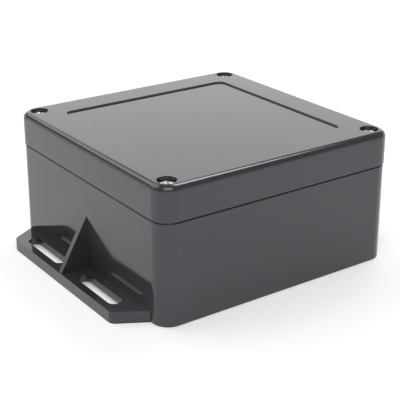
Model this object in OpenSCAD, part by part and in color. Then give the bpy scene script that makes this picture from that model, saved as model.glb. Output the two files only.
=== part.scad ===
// Project box with mounting flanges: a moulded base with brass inserts,
// and a moulded lid with its gasket and four captive screws.
// Origin at the middle of the underside, +Z up, a flange on each Y side.

/* [Box] */
// Width of the closed box along X, over the lid
box_w = 120; // [110:1:160]
// Length of the closed box along Y, over the lid
box_l = 120; // [110:1:160]
// Height of the closed box
box_h = 60; // [55:1:90]
// Height of the lid, from the seam to its top
lid_h = 15; // [13:0.5:20]
// Radius of the upright corners
corner_r = 8; // [7:0.5:9]
// Thickness of the base's walls
wall = 3.2; // [3:0.1:3.6]
// Thickness of the base's floor
floor_t = 3; // [2:0.25:4]
// Thickness of the lid's top plate
roof_t = 3; // [2.5:0.25:3.5]
// How far the lid stands proud of the base all round
overhang = 0.3; // [0:0.05:0.4]
// Height of the shadow line under the lid
seam_h = 0.5; // [0.2:0.05:0.6]
// Depth of the shadow line into the base's wall
seam_in = 0.6; // [0.3:0.1:0.7]
// Radius of the lid's top edge
lid_edge_r = 3; // [2:0.25:3.25]
// Radius of the base's bottom edge
base_edge_r = 0.8; // [0.4:0.1:2]

/* [Lid panel] */
// Distance from the lid's sides to the recessed panel
panel_in = 15.75; // [14:0.25:24]
// Depth of the recessed panel
panel_deep = 0.7; // [0.3:0.1:1]
// Corner radius of the recessed panel
panel_r = 3.5; // [1:0.25:8]

/* [Seal] */
// Width of the tongue on the base's rim
tongue_w = 1.2; // [1:0.05:1.4]
// Height of the tongue
tongue_h = 2; // [1.5:0.1:3]
// Distance from the walls' inner face to the middle of the tongue
tongue_in = 1.5; // [1.4:0.05:1.6]
// Clearance on each side of the tongue in the lid's groove
tongue_gap = 0.2; // [0.1:0.05:0.3]
// Clearance on each side of the gasket in the lid's groove
gasket_gap = 0.1; // [0.05:0.05:0.2]
// Thickness of the gasket above the tongue
gasket_t = 1.6; // [1:0.1:2.5]

/* [Lid screws] */
// Distance from the lid's sides to the axis of each screw
screw_in = 7.5; // [7:0.25:8.5]
// Outer radius of the column round each screw
column_r = 6.5; // [6:0.25:7]
// Diameter of the screw's thread
screw_d = 4; // [3.5:0.25:4]
// Length of the screw under its head
screw_l = 20; // [19:0.5:22]
// Diameter of the screw's head
head_d = 7; // [6:0.25:7.25]
// Height of the screw's head
head_h = 2.6; // [2.2:0.1:3]
// Radius of the rounded edge of the screw's head
head_edge_r = 0.7; // [0.3:0.1:1]
// Depth of the head's top below the lid's top
head_sink = 1.1; // [0.5:0.1:1.5]
// Diameter of the well that the head lies in
well_d = 8; // [7.5:0.25:8.5]
// Diameter of the clearance hole through the lid
lid_hole_d = 4.5; // [4.3:0.1:4.8]
// Width of the head's cross recess
cross_w = 0.9; // [0.6:0.1:1.2]
// Length of the head's cross recess
cross_l = 4; // [3:0.25:4.5]
// Depth of the head's cross recess
cross_deep = 1.5; // [1:0.1:1.8]
// Taper of the screw's tip
tip_taper = 0.6; // [0.3:0.1:0.8]

/* [Inserts] */
// Outer diameter of the threaded insert
insert_d = 5.6; // [5.4:0.1:6]
// Length of the threaded insert
insert_l = 8; // [6:0.5:10]
// Depth of the insert's top below the rim
insert_sink = 0.3; // [0.1:0.1:1]
// Running clearance round the screw in the insert
thread_gap = 0.05; // [0.03:0.01:0.09]
// Diameter of the blind hole that takes the screw's tip
tip_hole_d = 4.8; // [4.5:0.1:5.2]
// Room below the screw's tip
tip_room = 2.5; // [1:0.5:5]

/* [Flanges] */
// Reach of each flange beyond the lid's side
flange_reach = 13.2; // [12:0.1:20]
// Thickness of each flange at its edge
flange_t = 5.2; // [4:0.1:8]
// Length of each flange's outer edge, before its corners are rounded
flange_l = 85; // [84:1:96]
// Angle of the flange's ends, from square to the box's side
flange_splay = 30; // [15:1:32]
// Radius of the flange's outer corners
flange_r = 3.5; // [3:0.25:6]
// Depth of the relief under each flange
relief_deep = 2; // [1:0.25:3]
// Width of the rim left round the relief
relief_rim = 2.5; // [2:0.25:3]
// Width of the mounting slots
slot_w = 6; // [4:0.25:6.5]
// Length of the mounting slots, end to end
slot_l = 30; // [20:1:34]
// Distance between the centres of the two slots of a flange
slot_pitch = 45.6; // [42:0.2:48]
// Distance from the flange's outer edge to the middle of its slots
slot_in = 6.45; // [6:0.05:6.6]

/* [Gussets] */
// Thickness of the gusset over each flange
gusset_t = 2.5; // [1.5:0.25:4]
// Height of the gusset above the flange's top
gusset_h = 23.3; // [15:0.1:30]
// Distance from the gusset's foot to the flange's outer edge
gusset_in = 0.5; // [0.3:0.1:3]

/* [Board bosses] */
// Distance between the bosses along X
boss_pitch_x = 78; // [60:1:80]
// Distance between the bosses along Y
boss_pitch_y = 78; // [60:1:80]
// Diameter of the bosses
boss_d = 6.5; // [5:0.5:8]
// Height of the bosses above the floor
boss_h = 5; // [3:0.5:8]
// Diameter of the pilot holes in the bosses
pilot_d = 2.4; // [2:0.1:3]
// Thickness left between the pilot holes and the underside
pilot_skin = 1.6; // [1:0.1:1.8]

/* [Card guides] */
// Number of card guides on each wall
guide_count = 5; // [1:1:5]
// Distance from one guide to the next
guide_pitch = 15; // [8:0.5:16]
// Width of the slot that a board's edge slides in
guide_slot = 1.8; // [1.2:0.1:2.6]
// Thickness of the two ribs of a guide
guide_rib = 1.2; // [0.8:0.1:1.6]
// How far the ribs stand out from the wall
guide_out = 1.6; // [1:0.1:2.5]
// Distance from the top of the guides to the seam
guide_drop = 4; // [2:0.5:20]

/* [Hidden] */
$fn = 96;
// How far a cut runs past the surface that it opens
past = 1;

shell_colour = [0.19, 0.18, 0.20];
gasket_colour = [0.10, 0.10, 0.10];
steel_colour = [0.70, 0.70, 0.72];
brass_colour = [0.78, 0.62, 0.32];

// Levels
seam_z = box_h - lid_h;
roof_z = box_h - roof_t;
head_top_z = box_h - head_sink;
seat_z = head_top_z - head_h;
tip_z = seat_z - screw_l;
insert_z = seam_z - insert_sink - insert_l;
tongue_z = seam_z + tongue_h;
groove_z = tongue_z + gasket_t;

// Plans
lid_size = [box_w, box_l];
base_size = lid_size - 2 * [overhang, overhang];
inside_size = base_size - 2 * [wall, wall];
screw_x = box_w / 2 - screw_in;
screw_y = box_l / 2 - screw_in;
// Clear width and length between the corner columns
neck_size = 2 * [screw_x - column_r, screw_y - column_r];
panel_size = lid_size - 2 * [panel_in, panel_in];
// Radius of the hollow corners where the columns leave the walls
hollow_r = 2;
tongue_edge = tongue_w / 2;
groove_edge = tongue_edge + tongue_gap;

// Flange
flange_edge_y = box_l / 2 + flange_reach;
slot_y = flange_edge_y - slot_in;

// ---- Plane shapes ----

// Rectangle with round corners
module rounded_rect(size, r) {
    square([size.x - 2 * r, size.y], center = true);
    square([size.x, size.y - 2 * r], center = true);
    for (x = [-1, 1], y = [-1, 1])
        translate([x * (size.x / 2 - r), y * (size.y / 2 - r)])
            circle(r);
}

// Plan of the box's inside, grown by d: it steps in round the four screw columns
module inside_plan(d = 0) {
    grow = 2 * [d, d];
    bay = column_r - d;
    rounded_rect([inside_size.x, neck_size.y] + grow, hollow_r + d);
    rounded_rect([neck_size.x, inside_size.y] + grow, hollow_r + d);
    for (x = [0, 1], y = [0, 1])
        mirror([x, 0]) mirror([0, y])
            translate(neck_size / 2 + grow / 2)
                difference() {
                    translate(-[past, past]) square(bay + past);
                    translate([bay, bay]) circle(bay);
                }
}

// Closed strip along the rim, reaching edge to each side of the tongue's middle
module seal_strip(edge) {
    difference() {
        inside_plan(tongue_in + edge);
        inside_plan(tongue_in - edge);
    }
}

// Plan of one flange on the +Y side, from inside the wall to its outer edge,
// with its free edges moved in by inset
module flange_plan(inset = 0) {
    edge_y = flange_edge_y - inset;
    root_y = base_size.y / 2 - wall;
    half_l = flange_l / 2 - inset * (1 / cos(flange_splay) - tan(flange_splay));
    root_half_l = half_l + (edge_y - root_y) * tan(flange_splay);
    r = flange_r - inset;
    // Length that the round corner takes off each of its two edges
    cut = r * tan((90 - flange_splay) / 2);
    for (side = [0, 1])
        mirror([side, 0]) {
            polygon([
                [0, root_y],
                [root_half_l, root_y],
                [half_l + cut * sin(flange_splay), edge_y - cut * cos(flange_splay)],
                [half_l - cut, edge_y],
                [0, edge_y]
            ]);
            translate([half_l - cut, edge_y - r]) circle(r);
        }
}

// Plan of the relief under that flange, up to the box's wall
module relief_plan() {
    difference() {
        flange_plan(relief_rim);
        translate([-flange_l, 0]) square([2 * flange_l, base_size.y / 2]);
    }
}

// Slot with round ends, along X
module slot_plan() {
    square([slot_l - slot_w, slot_w], center = true);
    for (x = [-1, 1])
        translate([x * (slot_l - slot_w) / 2, 0]) circle(d = slot_w);
}

// ---- Solid shapes ----

// Half section, from its middle out to w, of a body with a rounded top edge
module crowned_half(w, h, edge_r) {
    square([w, h - edge_r]);
    square([w - edge_r, h]);
    translate([w - edge_r, h - edge_r])
        intersection() {
            circle(edge_r);
            square(edge_r);
        }
}

// Bar with rounded top edges, along Y
module crowned_bar(w, h, edge_r, length) {
    rotate([90, 0, 0])
        linear_extrude(length, center = true) {
            crowned_half(w / 2, h, edge_r);
            mirror([1, 0]) crowned_half(w / 2, h, edge_r);
        }
}

// Block with round upright corners and a rounded top edge, standing on z = 0
module crowned_block(size, h, r, edge_r) {
    crowned_bar(size.x, h, edge_r, size.y - 2 * r);
    rotate(90) crowned_bar(size.y, h, edge_r, size.x - 2 * r);
    for (x = [-1, 1], y = [-1, 1])
        translate([x * (size.x / 2 - r), y * (size.y / 2 - r)])
            rotate_extrude() crowned_half(r, h, edge_r);
}

// Places its children at the four screws
module at_screws() {
    for (x = [-1, 1], y = [-1, 1])
        translate([x * screw_x, y * screw_y]) children();
}

// Places its children at the four board bosses
module at_bosses() {
    for (x = [-1, 1], y = [-1, 1])
        translate([x * boss_pitch_x / 2, y * boss_pitch_y / 2, floor_t]) children();
}

// Gusset on the +Y flange, from high on the wall down to the flange's edge
module gusset() {
    foot_y = flange_edge_y - gusset_in;
    wall_y = base_size.y / 2;
    rotate([90, 0, 90])
        linear_extrude(gusset_t, center = true)
            polygon([
                [wall_y - wall / 2, flange_t / 2],
                [foot_y, flange_t / 2],
                [foot_y, flange_t],
                [wall_y, flange_t + gusset_h],
                [wall_y - wall / 2, flange_t + gusset_h]
            ]);
}

// Row of card guides standing on the floor against the wall at wall_x
module guide_row(wall_x) {
    for (i = [0 : guide_count - 1], side = [-1, 1])
        translate([
            wall_x - guide_out,
            (i - (guide_count - 1) / 2) * guide_pitch + side * (guide_slot + guide_rib) / 2
                - guide_rib / 2,
            floor_t / 2
        ])
            cube([guide_out + wall / 2, guide_rib, seam_z - guide_drop - floor_t / 2]);
}

// ---- Sub-parts ----

module base_blank() {
    shoulder_z = seam_z - seam_h;
    translate([0, 0, shoulder_z])
        mirror([0, 0, 1])
            crowned_block(base_size, shoulder_z, corner_r - overhang, base_edge_r);
    translate([0, 0, floor_t])
        linear_extrude(seam_z - floor_t)
            rounded_rect(base_size - 2 * [seam_in, seam_in], corner_r - overhang - seam_in);
    translate([0, 0, floor_t])
        linear_extrude(tongue_z - floor_t) seal_strip(tongue_edge);
    for (side = [0, 1])
        mirror([0, side]) {
            linear_extrude(flange_t) flange_plan();
            gusset();
        }
}

module base() {
    color(shell_colour) {
        difference() {
            base_blank();
            translate([0, 0, floor_t])
                linear_extrude(box_h) inside_plan();
            at_screws() {
                translate([0, 0, insert_z]) cylinder(d = insert_d, h = box_h);
                translate([0, 0, tip_z - tip_room]) cylinder(d = tip_hole_d, h = box_h);
            }
            for (side = [0, 1])
                mirror([0, side]) {
                    translate([0, 0, -past])
                        linear_extrude(relief_deep + past) relief_plan();
                    for (x = [-1, 1])
                        translate([x * slot_pitch / 2, slot_y, -past])
                            linear_extrude(flange_t + 2 * past) slot_plan();
                }
        }
        for (turn = [0, 180]) {
            rotate(turn) guide_row(inside_size.x / 2);
            rotate(turn + 90) guide_row(inside_size.y / 2);
        }
        at_bosses()
            difference() {
                translate([0, 0, -floor_t / 2]) cylinder(d = boss_d, h = boss_h + floor_t / 2);
                translate([0, 0, pilot_skin - floor_t]) cylinder(d = pilot_d, h = boss_h + floor_t);
            }
    }
}

module lid() {
    color(shell_colour)
        difference() {
            translate([0, 0, seam_z])
                crowned_block(lid_size, lid_h, corner_r, lid_edge_r);
            translate([0, 0, seam_z - past])
                linear_extrude(roof_z - seam_z + past) inside_plan();
            translate([0, 0, seam_z - past])
                linear_extrude(groove_z - seam_z + past) seal_strip(groove_edge);
            translate([0, 0, box_h - panel_deep])
                linear_extrude(panel_deep + past) rounded_rect(panel_size, panel_r);
            at_screws() {
                translate([0, 0, seat_z]) cylinder(d = well_d, h = lid_h);
                translate([0, 0, seam_z - past]) cylinder(d = lid_hole_d, h = lid_h);
            }
        }
}

module gasket() {
    color(gasket_colour)
        translate([0, 0, tongue_z])
            linear_extrude(gasket_t) seal_strip(groove_edge - gasket_gap);
}

// Machine screw with its head's underside at z = 0
module screw() {
    shank_r = screw_d / 2;
    color(steel_colour)
        difference() {
            union() {
                rotate_extrude() crowned_half(head_d / 2, head_h, head_edge_r);
                translate([0, 0, -screw_l])
                    cylinder(r1 = shank_r - tip_taper, r2 = shank_r, h = tip_taper);
                translate([0, 0, tip_taper - screw_l])
                    cylinder(r = shank_r, h = screw_l - tip_taper + head_h / 2);
            }
            for (turn = [0, 90])
                rotate(turn)
                    translate([0, 0, head_h - cross_deep / 2 + past / 2])
                        cube([cross_l, cross_w, cross_deep + past], center = true);
        }
}

// Lid screw in the corner given by the signs of x and y
module lid_screw(x, y) {
    translate([x * screw_x, y * screw_y, seat_z]) screw();
}

// Threaded insert in the corner given by the signs of x and y
module insert(x, y) {
    color(brass_colour)
        translate([x * screw_x, y * screw_y, insert_z])
            difference() {
                cylinder(d = insert_d, h = insert_l);
                translate([0, 0, -past])
                    cylinder(r = screw_d / 2 + thread_gap, h = insert_l + 2 * past);
            }
}

base();
lid();
gasket();
lid_screw(-1, -1);  // lid_screw_front_left
lid_screw(1, -1);  // lid_screw_front_right
lid_screw(-1, 1);  // lid_screw_rear_left
lid_screw(1, 1);  // lid_screw_rear_right
insert(-1, -1);  // insert_front_left
insert(1, -1);  // insert_front_right
insert(-1, 1);  // insert_rear_left
insert(1, 1);  // insert_rear_right
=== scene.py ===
"""Looks of a moulded project box with mounting flanges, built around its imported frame.

Lengths are in metres and angles in degrees, in the frame's own axes: +Z up, the flanges on the two Y sides.
"""

import logging
import math
from dataclasses import dataclass
from enum import Enum

import bmesh
import bpy
from mathutils import Matrix, Vector


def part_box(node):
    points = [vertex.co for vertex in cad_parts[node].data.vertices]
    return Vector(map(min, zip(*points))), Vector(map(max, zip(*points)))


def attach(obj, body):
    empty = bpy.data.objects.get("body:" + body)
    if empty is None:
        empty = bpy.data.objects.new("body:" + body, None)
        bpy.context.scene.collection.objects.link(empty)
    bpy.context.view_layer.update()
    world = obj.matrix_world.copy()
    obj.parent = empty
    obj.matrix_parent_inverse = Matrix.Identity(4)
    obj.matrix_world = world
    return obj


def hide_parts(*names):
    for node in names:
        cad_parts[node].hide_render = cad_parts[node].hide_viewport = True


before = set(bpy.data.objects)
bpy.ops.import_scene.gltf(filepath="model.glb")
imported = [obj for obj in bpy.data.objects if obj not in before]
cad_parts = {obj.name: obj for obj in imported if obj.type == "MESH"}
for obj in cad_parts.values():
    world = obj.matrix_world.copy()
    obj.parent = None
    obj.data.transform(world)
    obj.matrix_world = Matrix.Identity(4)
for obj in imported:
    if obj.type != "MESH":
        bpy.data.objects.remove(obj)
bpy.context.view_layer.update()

log = logging.getLogger("project_box")

MM = 0.001

ORIGIN = (0.0, 0.0, 0.0)
UP = (0.0, 0.0, 1.0)
FULL_TURN = 2.0 * math.pi
MERGE_DISTANCE = 0.001 * MM
LEVEL_TOLERANCE = 0.01 * MM
FLAT_ANGLE = 0.4
SHARP_ANGLE = 30.0
SMOOTH_ANGLE = 32.0
SHOULDER_STEPS = 4
BASE_RIM_HEIGHT = 44.5 * MM
SCREW_AXIS = 52.5 * MM


class Corner(Enum):
    """One of the box's four corners, by its part of the nodes' names."""

    FRONT_LEFT = "front_left"
    FRONT_RIGHT = "front_right"
    REAR_LEFT = "rear_left"
    REAR_RIGHT = "rear_right"


# ---- Mesh helpers --------------------------------------------------------------


def new_object(name: str, mesh: bmesh.types.BMesh) -> bpy.types.Object:
    """Turns a finished bmesh into an object at the origin, with its gentle edges shaded as round.

    Args:
        name: Name of the object.
        mesh: The bmesh, which is freed.

    Returns:
        The new object, linked to the scene.
    """
    data = bpy.data.meshes.new(name)
    mesh.to_mesh(data)
    mesh.free()
    data.shade_smooth()
    data.set_sharp_from_angle(angle=math.radians(SMOOTH_ANGLE))
    piece = bpy.data.objects.new(name, data)
    bpy.context.scene.collection.objects.link(piece)
    return piece


def keep_flats_flat(piece: bpy.types.Object) -> None:
    """Lets large flat faces keep their own normals beside small rounded ones."""
    weighting = piece.modifiers.new("weighted_normals", "WEIGHTED_NORMAL")
    weighting.mode = "FACE_AREA"
    weighting.keep_sharp = True


def round_edges(
    mesh: bmesh.types.BMesh, edges: list[bmesh.types.BMEdge], reach: float, segments: int
) -> None:
    """Rounds some of a mesh's edges.

    Args:
        mesh: The bmesh.
        edges: The edges to round.
        reach: How far each rounding reaches from its edge.
        segments: Number of faces across each rounding.
    """
    bmesh.ops.bevel(
        mesh, geom=edges, offset=reach, offset_type="OFFSET", affect="EDGES", segments=segments,
        profile=0.5, material=-1, clamp_overlap=True,
    )


def rounded_copy(
    node: str, reach: float, segments: int, shoulder: tuple[float, float] | None = None
) -> bmesh.types.BMesh:
    """Copies a CAD node's mesh, merges it and rounds its sharp edges.

    Args:
        node: Name of the CAD node.
        reach: How far each rounding reaches from the edge.
        segments: Number of faces across each rounding.
        shoulder: Height of the level edges that are rounded more, and how far, or None.

    Returns:
        The new bmesh.
    """
    mesh = bmesh.new()
    mesh.from_mesh(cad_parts[node].data)
    bmesh.ops.remove_doubles(mesh, verts=mesh.verts, dist=MERGE_DISTANCE)
    bmesh.ops.dissolve_limit(
        mesh, angle_limit=math.radians(FLAT_ANGLE), verts=mesh.verts, edges=mesh.edges
    )
    limit = math.radians(SHARP_ANGLE)
    sharp = [edge for edge in mesh.edges if edge.is_manifold and edge.calc_face_angle() > limit]
    if shoulder:
        level, shoulder_reach = shoulder
        lip = [
            edge for edge in sharp
            if edge.is_convex and all(abs(vert.co.z - level) < LEVEL_TOLERANCE for vert in edge.verts)
        ]
        on_lip = set(lip)
        sharp = [edge for edge in sharp if edge not in on_lip]
        round_edges(mesh, lip, shoulder_reach, SHOULDER_STEPS)
        sharp = [edge for edge in sharp if edge.is_valid]
    round_edges(mesh, sharp, reach, segments)
    return mesh


def cut_away(piece: bpy.types.Object, cutter: bpy.types.Object) -> None:
    """Cuts one closed object out of another and deletes the cutter."""
    cut = piece.modifiers.new("cut", "BOOLEAN")
    cut.object = cutter
    cut.operation = "DIFFERENCE"
    cut.solver = "EXACT"
    cut.use_self = True
    evaluated = piece.evaluated_get(bpy.context.evaluated_depsgraph_get())
    data = bpy.data.meshes.new_from_object(evaluated)
    piece.modifiers.remove(cut)
    piece.data = data
    bpy.data.objects.remove(cutter)


def sweep(
    mesh: bmesh.types.BMesh, profile: list[tuple[float, float]], steps: int,
    turns: int = 1, pitch: float = 0.0,
) -> None:
    """Sweeps a profile round the Z axis, level or rising.

    Args:
        mesh: The bmesh that gets the surface.
        profile: Points of radius and height.
        steps: Number of faces in a turn.
        turns: Number of turns.
        pitch: Rise of one turn, or zero for a surface that closes on itself.
    """
    points = [mesh.verts.new((radius, 0.0, height)) for radius, height in profile]
    edges = [mesh.edges.new(pair) for pair in zip(points, points[1:])]
    bmesh.ops.spin(
        mesh, geom=points + edges, cent=ORIGIN, axis=UP, dvec=(0.0, 0.0, pitch / steps),
        angle=FULL_TURN * turns, steps=steps * turns, use_merge=pitch == 0.0,
    )
    bmesh.ops.remove_doubles(mesh, verts=mesh.verts, dist=MERGE_DISTANCE)


def lathe(mesh: bmesh.types.BMesh, profile: list[tuple[float, float]], steps: int) -> None:
    """Turns a profile once round the Z axis and sets all the mesh's faces outwards.

    Args:
        mesh: The bmesh that gets the shape.
        profile: Points of radius and height, from the axis to the axis or from a point back to itself.
        steps: Number of faces round the axis.
    """
    sweep(mesh, profile, steps)
    bmesh.ops.recalc_face_normals(mesh, faces=mesh.faces)


# ---- Pieces --------------------------------------------------------------------


class Part:
    """What the box's pieces have in common: each is built, then dressed."""

    def build(self) -> bpy.types.Object:
        """Makes the piece and lets it stand for its CAD node."""
        raise NotImplementedError

    def dress(self, piece: bpy.types.Object, material: bpy.types.Material) -> None:
        """Gives the piece its material."""
        piece.data.materials.append(material)


@dataclass
class Shell(Part):
    """One moulding of the box or its gasket, with the small roundings that a mould leaves on edges."""

    node: str
    body: str
    slot: str
    edge_round: float
    round_steps: int = 2
    shoulder: tuple[float, float] | None = None

    def build(self) -> bpy.types.Object:
        """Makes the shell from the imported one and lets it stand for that."""
        mesh = rounded_copy(self.node, self.edge_round, self.round_steps, self.shoulder)
        piece = new_object(f"{self.node}_shell", mesh)
        keep_flats_flat(piece)
        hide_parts(self.node)
        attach(piece, self.body)
        return piece


@dataclass
class LidScrew(Part):
    """Pan head screw in one corner of the lid: a head with a cross recess, a core and a thread round it."""

    corner: Corner
    thread_crest: float = 1.98 * MM
    thread_root: float = 1.60 * MM
    core_overlap: float = 0.02 * MM
    pitch: float = 0.7 * MM
    turns: int = 22
    steps: int = 28
    tip_radius: float = 1.2 * MM
    head_height: float = 2.6 * MM
    head_steps: int = 48
    edge_round: float = 0.7 * MM
    edge_step: int = 15
    crown: float = 0.15 * MM
    crown_radius: float = 1.2 * MM
    foot_chamfer: float = 0.1 * MM
    recess_length: float = 4.0 * MM
    recess_width: float = 0.85 * MM
    recess_depth: float = 1.5 * MM
    recess_taper: tuple[float, float] = (0.45, 0.75)
    cutter_above: float = 0.1 * MM

    @property
    def node(self) -> str:
        """Name of the CAD node that the screw stands for."""
        return f"lid_screw_{self.corner.value}"

    def build(self) -> bpy.types.Object:
        """Makes the screw and lets it stand for its node."""
        low, high = (Vector(end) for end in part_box(self.node))
        middle = (low + high) / 2.0
        under = high.z - self.head_height
        head = self.build_head(high.x - middle.x, under, high.z)
        mesh = bmesh.new()
        mesh.from_mesh(head.data)
        bpy.data.objects.remove(head)
        thread_foot = low.z + self.pitch
        self.wind_thread(mesh, thread_foot)
        core = self.thread_root + self.core_overlap
        lathe(
            mesh,
            [(0.0, low.z), (self.tip_radius, low.z), (core, thread_foot), (core, under), (0.0, under)],
            self.steps,
        )
        bmesh.ops.translate(mesh, verts=mesh.verts, vec=(middle.x, middle.y, 0.0))
        piece = new_object(f"screw_{self.corner.value}", mesh)
        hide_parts(self.node)
        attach(piece, f"screw_{self.corner.value}")
        return piece

    def wind_thread(self, mesh: bmesh.types.BMesh, foot: float) -> None:
        """Winds the thread round the Z axis; its first and last turns are left open against the core.

        Args:
            mesh: The bmesh that gets the thread.
            foot: Height of the thread's lower end.
        """
        flat = self.pitch / 8.0
        ridge = self.pitch / 2.0
        profile = [
            (self.thread_root, foot), (self.thread_root, foot + flat),
            (self.thread_crest, foot + ridge), (self.thread_crest, foot + (ridge + flat)),
            (self.thread_root, foot + self.pitch),
        ]
        sweep(mesh, profile, self.steps, self.turns, self.pitch)

    def build_head(self, radius: float, under: float, top: float) -> bpy.types.Object:
        """Makes the pan head on the Z axis, with its tapered cross recess.

        Args:
            radius: Radius of the head.
            under: Height of its underside.
            top: Height of its crown.

        Returns:
            The head as an object of its own.
        """
        rim = [
            (
                radius - self.edge_round * (1.0 - math.cos(turn)),
                top - self.crown - self.edge_round * (1.0 - math.sin(turn)),
            )
            for turn in map(math.radians, range(0, 90 + 1, self.edge_step))
        ]
        mesh = bmesh.new()
        foot = [(0.0, under), (radius - self.foot_chamfer, under), (radius, under + self.foot_chamfer)]
        lathe(mesh, [*foot, *rim, (self.crown_radius, top), (0.0, top)], self.head_steps)
        head = new_object("screw_head", mesh)
        cut_away(head, self.build_cross(top))
        return head

    def build_cross(self, top: float) -> bpy.types.Object:
        """Makes the cutter for the cross recess: two blades that narrow downwards.

        Args:
            top: Height of the head's crown.

        Returns:
            The cutter.
        """
        length_share, width_share = self.recess_taper
        cross = bmesh.new()
        for turn in (0.0, math.pi / 2.0):
            blade = bmesh.ops.create_cube(cross, size=1.0)["verts"]
            for vert in blade:
                deep = vert.co.z < 0.0
                vert.co.x *= self.recess_length * (length_share if deep else 1.0)
                vert.co.y *= self.recess_width * (width_share if deep else 1.0)
                vert.co.z = top - self.recess_depth if deep else top + self.cutter_above
            bmesh.ops.rotate(cross, verts=blade, cent=ORIGIN, matrix=Matrix.Rotation(turn, 3, "Z"))
        return new_object("cross_cutter", cross)


@dataclass
class ThreadedInsert(Part):
    """Knurled brass insert in one corner column of the base, with a plain bore."""

    corner: Corner
    bore: float = 2.06 * MM
    teeth: int = 28
    knurl_deep: float = 0.22 * MM
    chamfer: float = 0.25 * MM
    outside_share: float = 1.5

    @property
    def node(self) -> str:
        """Name of the CAD node that the insert stands for."""
        return f"insert_{self.corner.value}"

    def build(self) -> bpy.types.Object:
        """Makes the insert and lets it stand for its node."""
        low, high = (Vector(end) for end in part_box(self.node))
        radius = (high.x - low.x) / 2.0
        middle = (low + high) / 2.0
        mesh = bmesh.new()
        valley = radius - self.knurl_deep
        mouth = self.bore + self.chamfer
        profile = [
            (self.bore, low.z + self.chamfer), (mouth, low.z), (valley, low.z),
            (valley, high.z), (mouth, high.z), (self.bore, high.z - self.chamfer),
        ]
        lathe(mesh, [*profile, profile[0]], 2 * self.teeth)
        self.knurl(mesh, radius)
        bmesh.ops.translate(mesh, verts=mesh.verts, vec=(middle.x, middle.y, 0.0))
        piece = new_object(f"threaded_insert_{self.corner.value}", mesh)
        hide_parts(self.node)
        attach(piece, "base")
        return piece

    def knurl(self, mesh: bmesh.types.BMesh, radius: float) -> None:
        """Pulls every second upright edge of the outside out into a tooth.

        Args:
            mesh: The insert on the Z axis.
            radius: Radius over the teeth.
        """
        step = math.pi / self.teeth
        inner_limit = radius - self.outside_share * self.knurl_deep
        for vert in mesh.verts:
            across = vert.co.xy.length
            place = round(math.atan2(vert.co.y, vert.co.x) / step)
            if across > inner_limit and place % 2 == 0:
                vert.co.xy *= radius / across


# ---- Finishes ------------------------------------------------------------------


class Nodes:
    """Short way to add and join the nodes of one node tree."""

    def __init__(self, tree: bpy.types.NodeTree) -> None:
        """Keeps the tree that the nodes go into."""
        self.tree = tree

    def add(self, kind: str, **settings: object) -> bpy.types.Node:
        """Adds a node.

        Args:
            kind: Blender's type name of the node.
            settings: Properties by name, and values of input sockets by "in_" and their name.

        Returns:
            The new node.
        """
        node = self.tree.nodes.new(kind)
        for name, value in settings.items():
            if name.startswith("in_"):
                node.inputs[name[3:].replace("_", " ")].default_value = value
            else:
                setattr(node, name, value)
        return node

    def join(self, source: bpy.types.NodeSocket, target: bpy.types.NodeSocket) -> None:
        """Links an output to an input."""
        self.tree.links.new(source, target)

    def add_noise(self, source: bpy.types.Node, scale: str = "Scale", **settings: object) -> bpy.types.Node:
        """Adds a noise texture that takes its place and scale from a group's inputs.

        Args:
            source: The group's input node.
            scale: Name of the input with the scale.
            settings: As for add.

        Returns:
            The new node.
        """
        noise = self.add("ShaderNodeTexNoise", **settings)
        self.join(source.outputs["Vector"], noise.inputs["Vector"])
        self.join(source.outputs[scale], noise.inputs["Scale"])
        return noise


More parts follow.
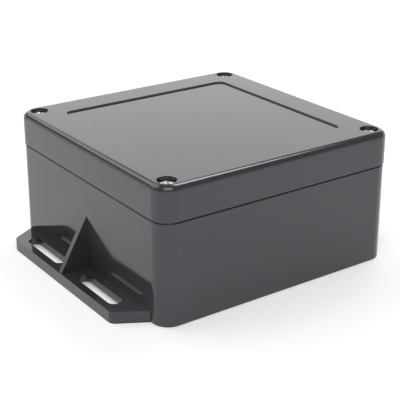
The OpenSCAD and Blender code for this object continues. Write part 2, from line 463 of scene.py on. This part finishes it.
class Effects:
    """Node groups for the surface effects that the finishes share."""

    def __init__(self) -> None:
        """Builds each group once."""
        self.relief = self.build_relief()
        self.haze = self.build_haze()
        self.tone = self.build_tone()
        self.turning = self.build_turning()

    @staticmethod
    def start(
        name: str, inputs: dict[str, str], output: tuple[str, str]
    ) -> tuple[Nodes, bpy.types.Node, bpy.types.Node]:
        """Starts a group.

        Args:
            name: Name of the group.
            inputs: Socket kinds, "Float", "Vector" or "Color", by their names.
            output: Name and kind of the output.

        Returns:
            The group's nodes, its input node and its output node.
        """
        tree = bpy.data.node_groups.new(name, "ShaderNodeTree")
        for label, kind in inputs.items():
            tree.interface.new_socket(label, in_out="INPUT", socket_type=f"NodeSocket{kind}")
        label, kind = output
        tree.interface.new_socket(label, in_out="OUTPUT", socket_type=f"NodeSocket{kind}")
        nodes = Nodes(tree)
        return nodes, nodes.add("NodeGroupInput"), nodes.add("NodeGroupOutput")

    def build_relief(self) -> bpy.types.NodeTree:
        """Makes the height of long moulding waves with a fine grain on them."""
        nodes, source, sink = self.start(
            "mould_relief",
            {"Vector": "Vector", "Wave Scale": "Float", "Grain Scale": "Float", "Grain Share": "Float"},
            ("Height", "Float"),
        )
        wave = nodes.add_noise(source, "Wave Scale", in_Detail=1.0, in_Roughness=0.4)
        grain = nodes.add_noise(source, "Grain Scale", in_Detail=3.0, in_Roughness=0.6)
        both = nodes.add("ShaderNodeMix", data_type="FLOAT")
        nodes.join(source.outputs["Grain Share"], both.inputs["Factor"])
        nodes.join(wave.outputs["Fac"], both.inputs["A"])
        nodes.join(grain.outputs["Fac"], both.inputs["B"])
        nodes.join(both.outputs["Result"], sink.inputs["Height"])
        return nodes.tree

    def build_haze(self) -> bpy.types.NodeTree:
        """Makes a roughness that drifts between two values in soft patches."""
        nodes, source, sink = self.start(
            "handling_haze", {"Vector": "Vector", "Scale": "Float", "Low": "Float", "High": "Float"},
            ("Roughness", "Float"),
        )
        patch = nodes.add_noise(source, in_Detail=4.0, in_Roughness=0.65, in_Distortion=0.4)
        spread = nodes.add("ShaderNodeMapRange", in_From_Min=0.35, in_From_Max=0.70)
        nodes.join(patch.outputs["Fac"], spread.inputs["Value"])
        nodes.join(source.outputs["Low"], spread.inputs["To Min"])
        nodes.join(source.outputs["High"], spread.inputs["To Max"])
        nodes.join(spread.outputs["Result"], sink.inputs["Roughness"])
        return nodes.tree

    def build_tone(self) -> bpy.types.NodeTree:
        """Makes a colour that drifts softly between two close ones."""
        nodes, source, sink = self.start(
            "tone_drift", {"Vector": "Vector", "Scale": "Float", "Dark": "Color", "Light": "Color"},
            ("Color", "Color"),
        )
        patch = nodes.add_noise(source, in_Detail=3.0, in_Roughness=0.55)
        mix = nodes.add("ShaderNodeMixRGB")
        nodes.join(patch.outputs["Fac"], mix.inputs["Fac"])
        nodes.join(source.outputs["Dark"], mix.inputs["Color1"])
        nodes.join(source.outputs["Light"], mix.inputs["Color2"])
        nodes.join(mix.outputs["Color"], sink.inputs["Color"])
        return nodes.tree

    def build_turning(self) -> bpy.types.NodeTree:
        """Makes the height of turning rings round the four corner axes, which mirror each other."""
        nodes, source, sink = self.start(
            "turning_rings", {"Vector": "Vector", "Axis": "Vector", "Scale": "Float"}, ("Height", "Float"),
        )
        fold = nodes.add("ShaderNodeVectorMath", operation="ABSOLUTE")
        centre = nodes.add("ShaderNodeVectorMath", operation="SUBTRACT")
        rings = nodes.add(
            "ShaderNodeTexWave", wave_type="RINGS", rings_direction="Z", in_Distortion=0.6, in_Detail=2.0
        )
        nodes.join(source.outputs["Vector"], fold.inputs[0])
        nodes.join(fold.outputs["Vector"], centre.inputs[0])
        nodes.join(source.outputs["Axis"], centre.inputs[1])
        nodes.join(centre.outputs["Vector"], rings.inputs["Vector"])
        nodes.join(source.outputs["Scale"], rings.inputs["Scale"])
        nodes.join(rings.outputs["Fac"], sink.inputs["Height"])
        return nodes.tree


@dataclass(frozen=True)
class Finish:
    """One finish: drifting tone and roughness over a fine relief."""

    name: str
    dark: tuple[float, float, float]
    light: tuple[float, float, float]
    smooth: float
    rough: float
    relief: float
    relief_depth: float
    tone_scale: float = 28.0
    haze_scale: float = 42.0
    wave_scale: float = 55.0
    grain_scale: float = 4200.0
    grain_share: float = 0.02
    ring_scale: float = 1400.0
    metallic: float = 0.0
    ior: float = 1.5
    tint: tuple[float, float, float] = (1.0, 1.0, 1.0)
    turned: bool = False

    def build(self, effects: Effects) -> bpy.types.Material:
        """Makes the material.

        Args:
            effects: The shared node groups.

        Returns:
            The new material.
        """
        material = bpy.data.materials.new(self.name)
        material.use_nodes = True
        nodes = Nodes(material.node_tree)
        shader = material.node_tree.nodes["Principled BSDF"]
        shader.inputs["Metallic"].default_value = self.metallic
        shader.inputs["IOR"].default_value = self.ior
        shader.inputs["Specular Tint"].default_value = (*self.tint, 1.0)
        place = nodes.add("ShaderNodeTexCoord").outputs["Object"]
        tone = nodes.add(
            "ShaderNodeGroup", node_tree=effects.tone, in_Scale=self.tone_scale,
            in_Dark=(*self.dark, 1.0), in_Light=(*self.light, 1.0),
        )
        haze = nodes.add(
            "ShaderNodeGroup", node_tree=effects.haze, in_Scale=self.haze_scale,
            in_Low=self.smooth, in_High=self.rough,
        )
        height = self.add_height(nodes, effects)
        for group in (tone, haze, height):
            nodes.join(place, group.inputs["Vector"])
        bump = nodes.add("ShaderNodeBump", in_Strength=self.relief, in_Distance=self.relief_depth)
        nodes.join(height.outputs["Height"], bump.inputs["Height"])
        nodes.join(tone.outputs["Color"], shader.inputs["Base Color"])
        nodes.join(haze.outputs["Roughness"], shader.inputs["Roughness"])
        nodes.join(bump.outputs["Normal"], shader.inputs["Normal"])
        return material

    def add_height(self, nodes: Nodes, effects: Effects) -> bpy.types.Node:
        """Adds the group that gives the relief's height: turning rings, or moulding waves and grain."""
        if self.turned:
            return nodes.add(
                "ShaderNodeGroup", node_tree=effects.turning, in_Scale=self.ring_scale,
                in_Axis=(SCREW_AXIS, SCREW_AXIS, 0.0),
            )
        return nodes.add(
            "ShaderNodeGroup", node_tree=effects.relief, in_Wave_Scale=self.wave_scale,
            in_Grain_Scale=self.grain_scale, in_Grain_Share=self.grain_share,
        )


BLACK_PLASTIC = Finish(
    "glossy_black_abs", dark=(0.0405, 0.0355, 0.0425), light=(0.0465, 0.0410, 0.0490),
    smooth=0.075, rough=0.13, relief=0.35, relief_depth=0.12 * MM,
    ior=1.62, tint=(0.965, 0.925, 1.0),
)
RUBBER = Finish(
    "black_silicone", dark=(0.020, 0.020, 0.021), light=(0.028, 0.028, 0.029),
    smooth=0.48, rough=0.62, relief=0.5, relief_depth=0.05 * MM, grain_share=0.5, ior=1.42,
)
STEEL = Finish(
    "stainless_steel", dark=(0.66, 0.65, 0.64), light=(0.76, 0.75, 0.74),
    smooth=0.16, rough=0.30, relief=0.25, relief_depth=0.01 * MM, metallic=1.0, turned=True,
)
BRASS = Finish(
    "turned_brass", dark=(0.66, 0.44, 0.17), light=(0.78, 0.56, 0.27),
    smooth=0.20, rough=0.34, relief=0.25, relief_depth=0.01 * MM, metallic=1.0, turned=True,
)


# ---- Studio --------------------------------------------------------------------


@dataclass(frozen=True)
class Camera:
    """Camera a little above the near corner, turned from straight along +Y and down by its angles."""

    place: tuple[float, float, float] = (0.3655, -0.2587, 0.2076)
    azimuth: float = 55.27
    elevation: float = 20.43
    roll: float = -0.10
    lens: float = 95.41
    sensor: float = 36.0
    shift: tuple[float, float] = (0.025, -0.10)
    nearest: float = 0.01

    def build(self) -> None:
        """Makes the camera and gives it to the scene."""
        data = bpy.data.cameras.new("camera")
        data.lens = self.lens
        data.sensor_width = self.sensor
        data.shift_x, data.shift_y = self.shift
        data.clip_start = self.nearest
        camera = bpy.data.objects.new("camera", data)
        bpy.context.scene.collection.objects.link(camera)
        camera.matrix_world = (
            Matrix.Translation(self.place)
            @ Matrix.Rotation(math.radians(self.azimuth), 4, "Z")
            @ Matrix.Rotation(math.radians(90.0 - self.elevation), 4, "X")
            @ Matrix.Rotation(math.radians(self.roll), 4, "Z")
        )
        bpy.context.scene.camera = camera


@dataclass(frozen=True)
class Softbox:
    """Rectangular lamp that faces the middle of the box."""

    name: str
    azimuth: float
    elevation: float
    distance: float
    width: float
    height: float
    watts: float
    aim_height: float = 0.03

    def build(self) -> None:
        """Makes the lamp."""
        data = bpy.data.lights.new(self.name, "AREA")
        data.shape = "RECTANGLE"
        data.size = self.width
        data.size_y = self.height
        data.energy = self.watts
        lamp = bpy.data.objects.new(self.name, data)
        bpy.context.scene.collection.objects.link(lamp)
        turn = (
            Matrix.Rotation(math.radians(self.azimuth), 4, "Z")
            @ Matrix.Rotation(math.radians(90.0 - self.elevation), 4, "X")
        )
        back = turn.to_3x3() @ Vector(UP)
        aim = Vector((0.0, 0.0, self.aim_height))
        lamp.matrix_world = Matrix.Translation(aim + back * self.distance) @ turn


@dataclass(frozen=True)
class Studio:
    """Pale floor, surroundings that are white low down and dim above, and soft lamps."""

    floor_half: float = 3.0
    floor_colour: float = 0.80
    floor_lift: float = 0.40
    sky_low: float = 1.0
    sky_high: float = 0.22
    sky_edge: tuple[float, float] = (0.10, 0.30)
    lamps: tuple[Softbox, ...] = (
        Softbox("left_softbox", -58.0, 46.0, distance=1.5, width=1.4, height=1.0, watts=7.5),
        Softbox("rear_softbox", -125.0, 20.0, distance=1.5, width=1.8, height=0.9, watts=6.0),
        Softbox("top_strip", -160.0, 58.0, distance=1.4, width=0.7, height=0.30, watts=4.0),
        Softbox("front_fill", 62.0, 55.0, distance=1.5, width=1.0, height=1.0, watts=8.0),
    )

    def build(self) -> None:
        """Makes the floor, the world and the lamps."""
        self.build_floor()
        self.build_world()
        for lamp in self.lamps:
            lamp.build()

    def build_floor(self) -> None:
        """Makes the pale floor, lifted towards white where it is seen but still shaded by the box."""
        plane = bmesh.new()
        bmesh.ops.create_grid(plane, x_segments=1, y_segments=1, size=self.floor_half)
        floor = new_object("floor", plane)
        material = bpy.data.materials.new("pale_floor")
        material.use_nodes = True
        tree = material.node_tree
        tree.nodes.remove(tree.nodes["Principled BSDF"])
        nodes = Nodes(tree)
        matte = nodes.add("ShaderNodeBsdfDiffuse", in_Color=(self.floor_colour,) * 3 + (1.0,))
        lift = nodes.add("ShaderNodeEmission")
        path = nodes.add("ShaderNodeLightPath")
        rays = path.outputs["Is Camera Ray"]
        for kind in ("Is Glossy Ray", "Is Transmission Ray"):
            total = nodes.add("ShaderNodeMath", operation="ADD", use_clamp=True)
            nodes.join(rays, total.inputs[0])
            nodes.join(path.outputs[kind], total.inputs[1])
            rays = total.outputs[0]
        strength = nodes.add("ShaderNodeMath", operation="MULTIPLY")
        strength.inputs[1].default_value = self.floor_lift
        nodes.join(rays, strength.inputs[0])
        nodes.join(strength.outputs[0], lift.inputs["Strength"])
        both = nodes.add("ShaderNodeAddShader")
        nodes.join(matte.outputs[0], both.inputs[0])
        nodes.join(lift.outputs[0], both.inputs[1])
        nodes.join(both.outputs[0], tree.nodes["Material Output"].inputs["Surface"])
        floor.data.materials.append(material)

    def build_world(self) -> None:
        """Makes surroundings that are white low down and dim towards the ceiling."""
        world = bpy.data.worlds.new("surroundings")
        bpy.context.scene.world = world
        world.use_nodes = True
        nodes = Nodes(world.node_tree)
        sky = world.node_tree.nodes["Background"]
        sky.inputs["Color"].default_value = (1.0, 1.0, 1.0, 1.0)
        place = nodes.add("ShaderNodeTexCoord")
        split = nodes.add("ShaderNodeSeparateXYZ")
        nodes.join(place.outputs["Generated"], split.inputs[0])
        edge_low, edge_high = self.sky_edge
        fade = nodes.add(
            "ShaderNodeMapRange", interpolation_type="SMOOTHSTEP", in_From_Min=edge_low,
            in_From_Max=edge_high, in_To_Min=self.sky_low, in_To_Max=self.sky_high,
        )
        nodes.join(split.outputs["Z"], fade.inputs["Value"])
        nodes.join(fade.outputs[0], sky.inputs["Strength"])


def main() -> None:
    """Builds the studio, then builds and dresses every piece."""
    logging.basicConfig(level=logging.INFO)
    bpy.context.scene.view_settings.view_transform = "Standard"
    Camera().build()
    Studio().build()
    effects = Effects()
    plastic, rubber = BLACK_PLASTIC.build(effects), RUBBER.build(effects)
    steel, brass = STEEL.build(effects), BRASS.build(effects)
    base_shoulder = (BASE_RIM_HEIGHT, 0.5 * MM)
    parts: list[tuple[Part, bpy.types.Material]] = [
        (Shell("base", "base", "shell", edge_round=0.25 * MM, shoulder=base_shoulder), plastic),
        (Shell("lid", "lid", "shell", edge_round=0.20 * MM), plastic),
        (Shell("gasket", "lid", "seal", edge_round=0.35 * MM, round_steps=3), rubber),
    ]
    for corner in Corner:
        parts += [(LidScrew(corner), steel), (ThreadedInsert(corner), brass)]
    for part, material in parts:
        piece = part.build()
        part.dress(piece, material)
        log.info("built %s", piece.name)


if __name__ == "__main__":
    main()
